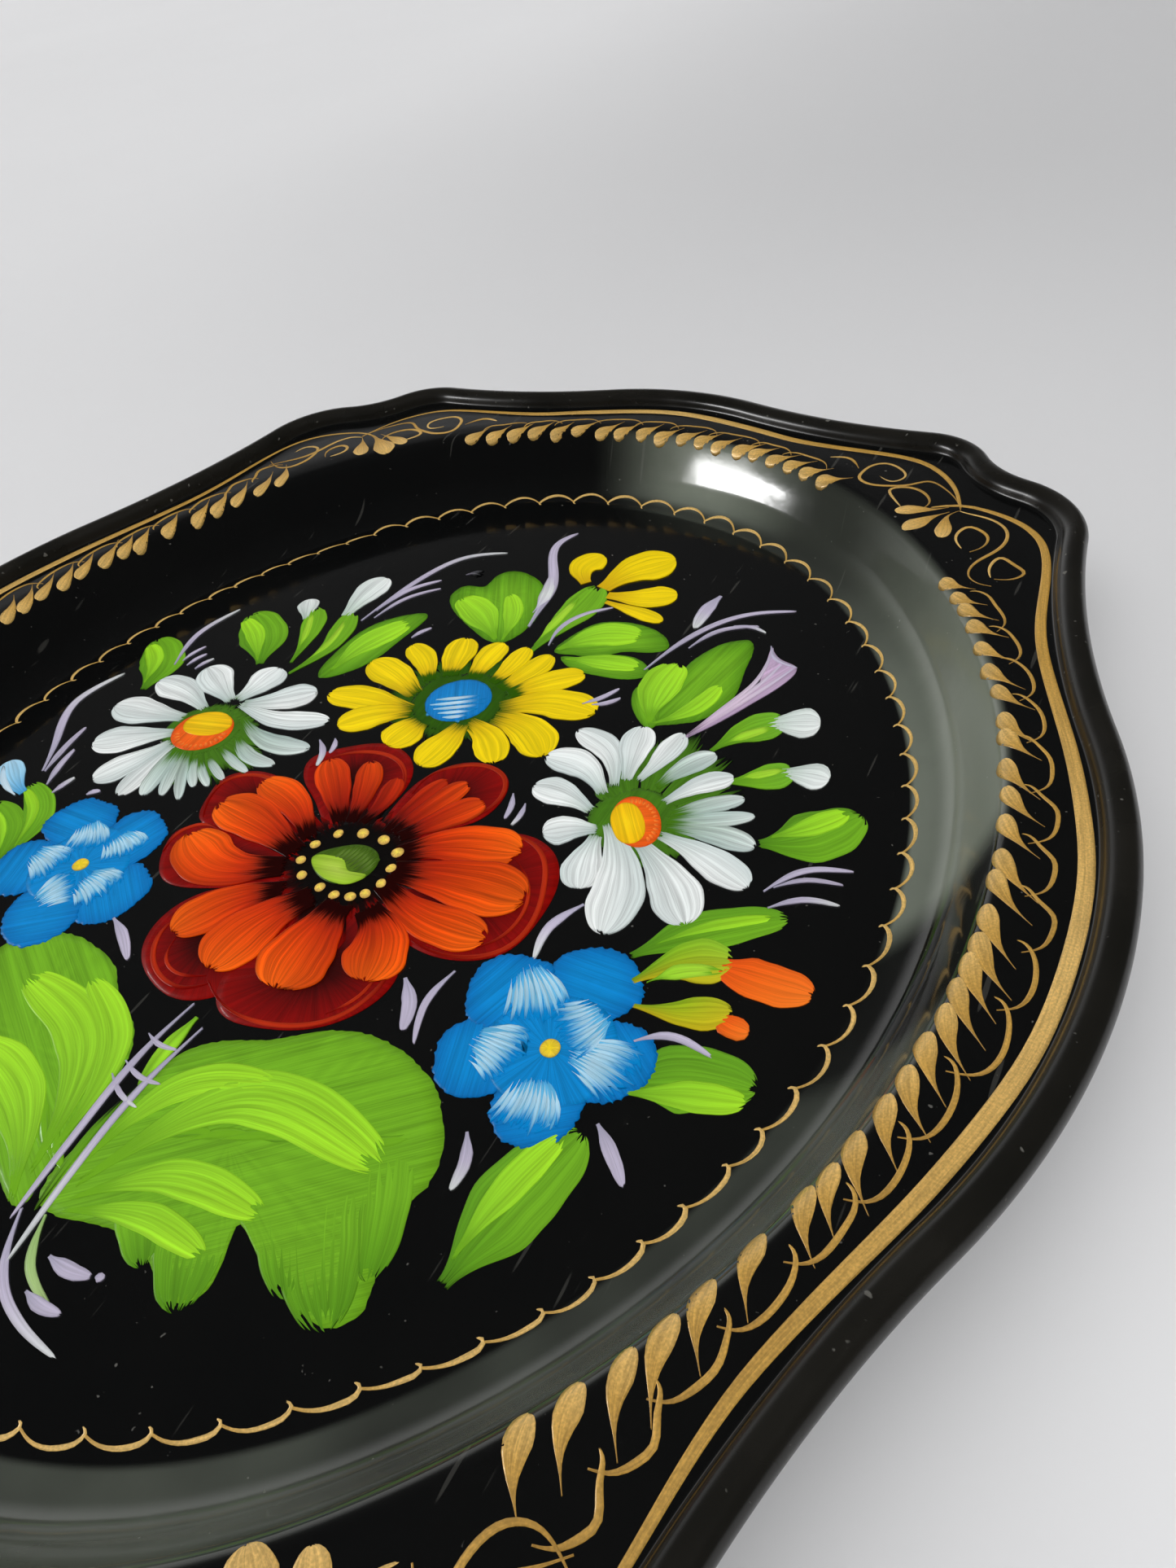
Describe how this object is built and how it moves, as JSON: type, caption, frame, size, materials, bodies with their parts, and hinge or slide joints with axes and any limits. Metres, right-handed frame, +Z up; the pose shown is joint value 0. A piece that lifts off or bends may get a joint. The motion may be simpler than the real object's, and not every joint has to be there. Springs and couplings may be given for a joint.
{
  "type": "zhostovo painted tray",
  "caption": "Oval metal serving tray with a figured rolled rim, raised flange, black lacquer, a hand-painted bouquet and a gold brushed border.",
  "frame": {"origin": "centre of the tray on the plane of its underside, on which it rests", "axes": "+Y along the longer axis towards the top of the bouquet, +X to the bouquet's right, +Z up out of the well"},
  "size_m": [0.2962, 0.3289, 0.0211],
  "materials": {
    "black_lacquer": "black baked lacquer, high gloss, fine scratches from use",
    "steel_wire": "plain drawn steel wire, hidden inside the rolled rim",
    "gold_paint": "gold powder in varnish, brushed lines and drops, slightly worn",
    "poppy_red": "orange-red oil paint over dark red glaze, visible brush hairs",
    "yellow_paint": "yellow oil paint, visible brush hairs",
    "white_paint": "white oil paint thinning to grey-green, visible brush hairs",
    "blue_paint": "blue oil paint with pale blue hatching",
    "orange_paint": "orange oil paint",
    "heart_yellow": "yellow and orange oil paint",
    "pod_green": "green oil paint with dark hatching",
    "leaf_green": "green oil paint with light green strokes",
    "lilac_paint": "thin lilac-white liner strokes"
  },
  "bodies": {
    "root": {"tray_body": "black_lacquer", "rim_wire": "steel_wire", "scallop_ring": "gold_paint", "rim_gold_line": "gold_paint", "gold_drops": "gold_paint", "yellow_daisy_heart": "blue_paint", "yellow_daisy": "yellow_paint", "poppy_pod": "pod_green", "white_daisy_heart_left": "heart_yellow", "white_daisy_left": "white_paint", "white_daisy_heart_right": "heart_yellow", "white_daisy_right": "white_paint", "poppy": "poppy_red", "blue_flower_heart_left": "yellow_paint", "blue_flower_left": "blue_paint", "blue_flower_heart_right": "yellow_paint", "blue_flower_right": "blue_paint", "yellow_bud": "yellow_paint", "white_buds": "white_paint", "orange_buds": "orange_paint", "blue_bud": "blue_paint", "large_leaves": "leaf_green", "small_leaves": "leaf_green", "light_strokes": "lilac_paint"}
  },
  "joints": []
}
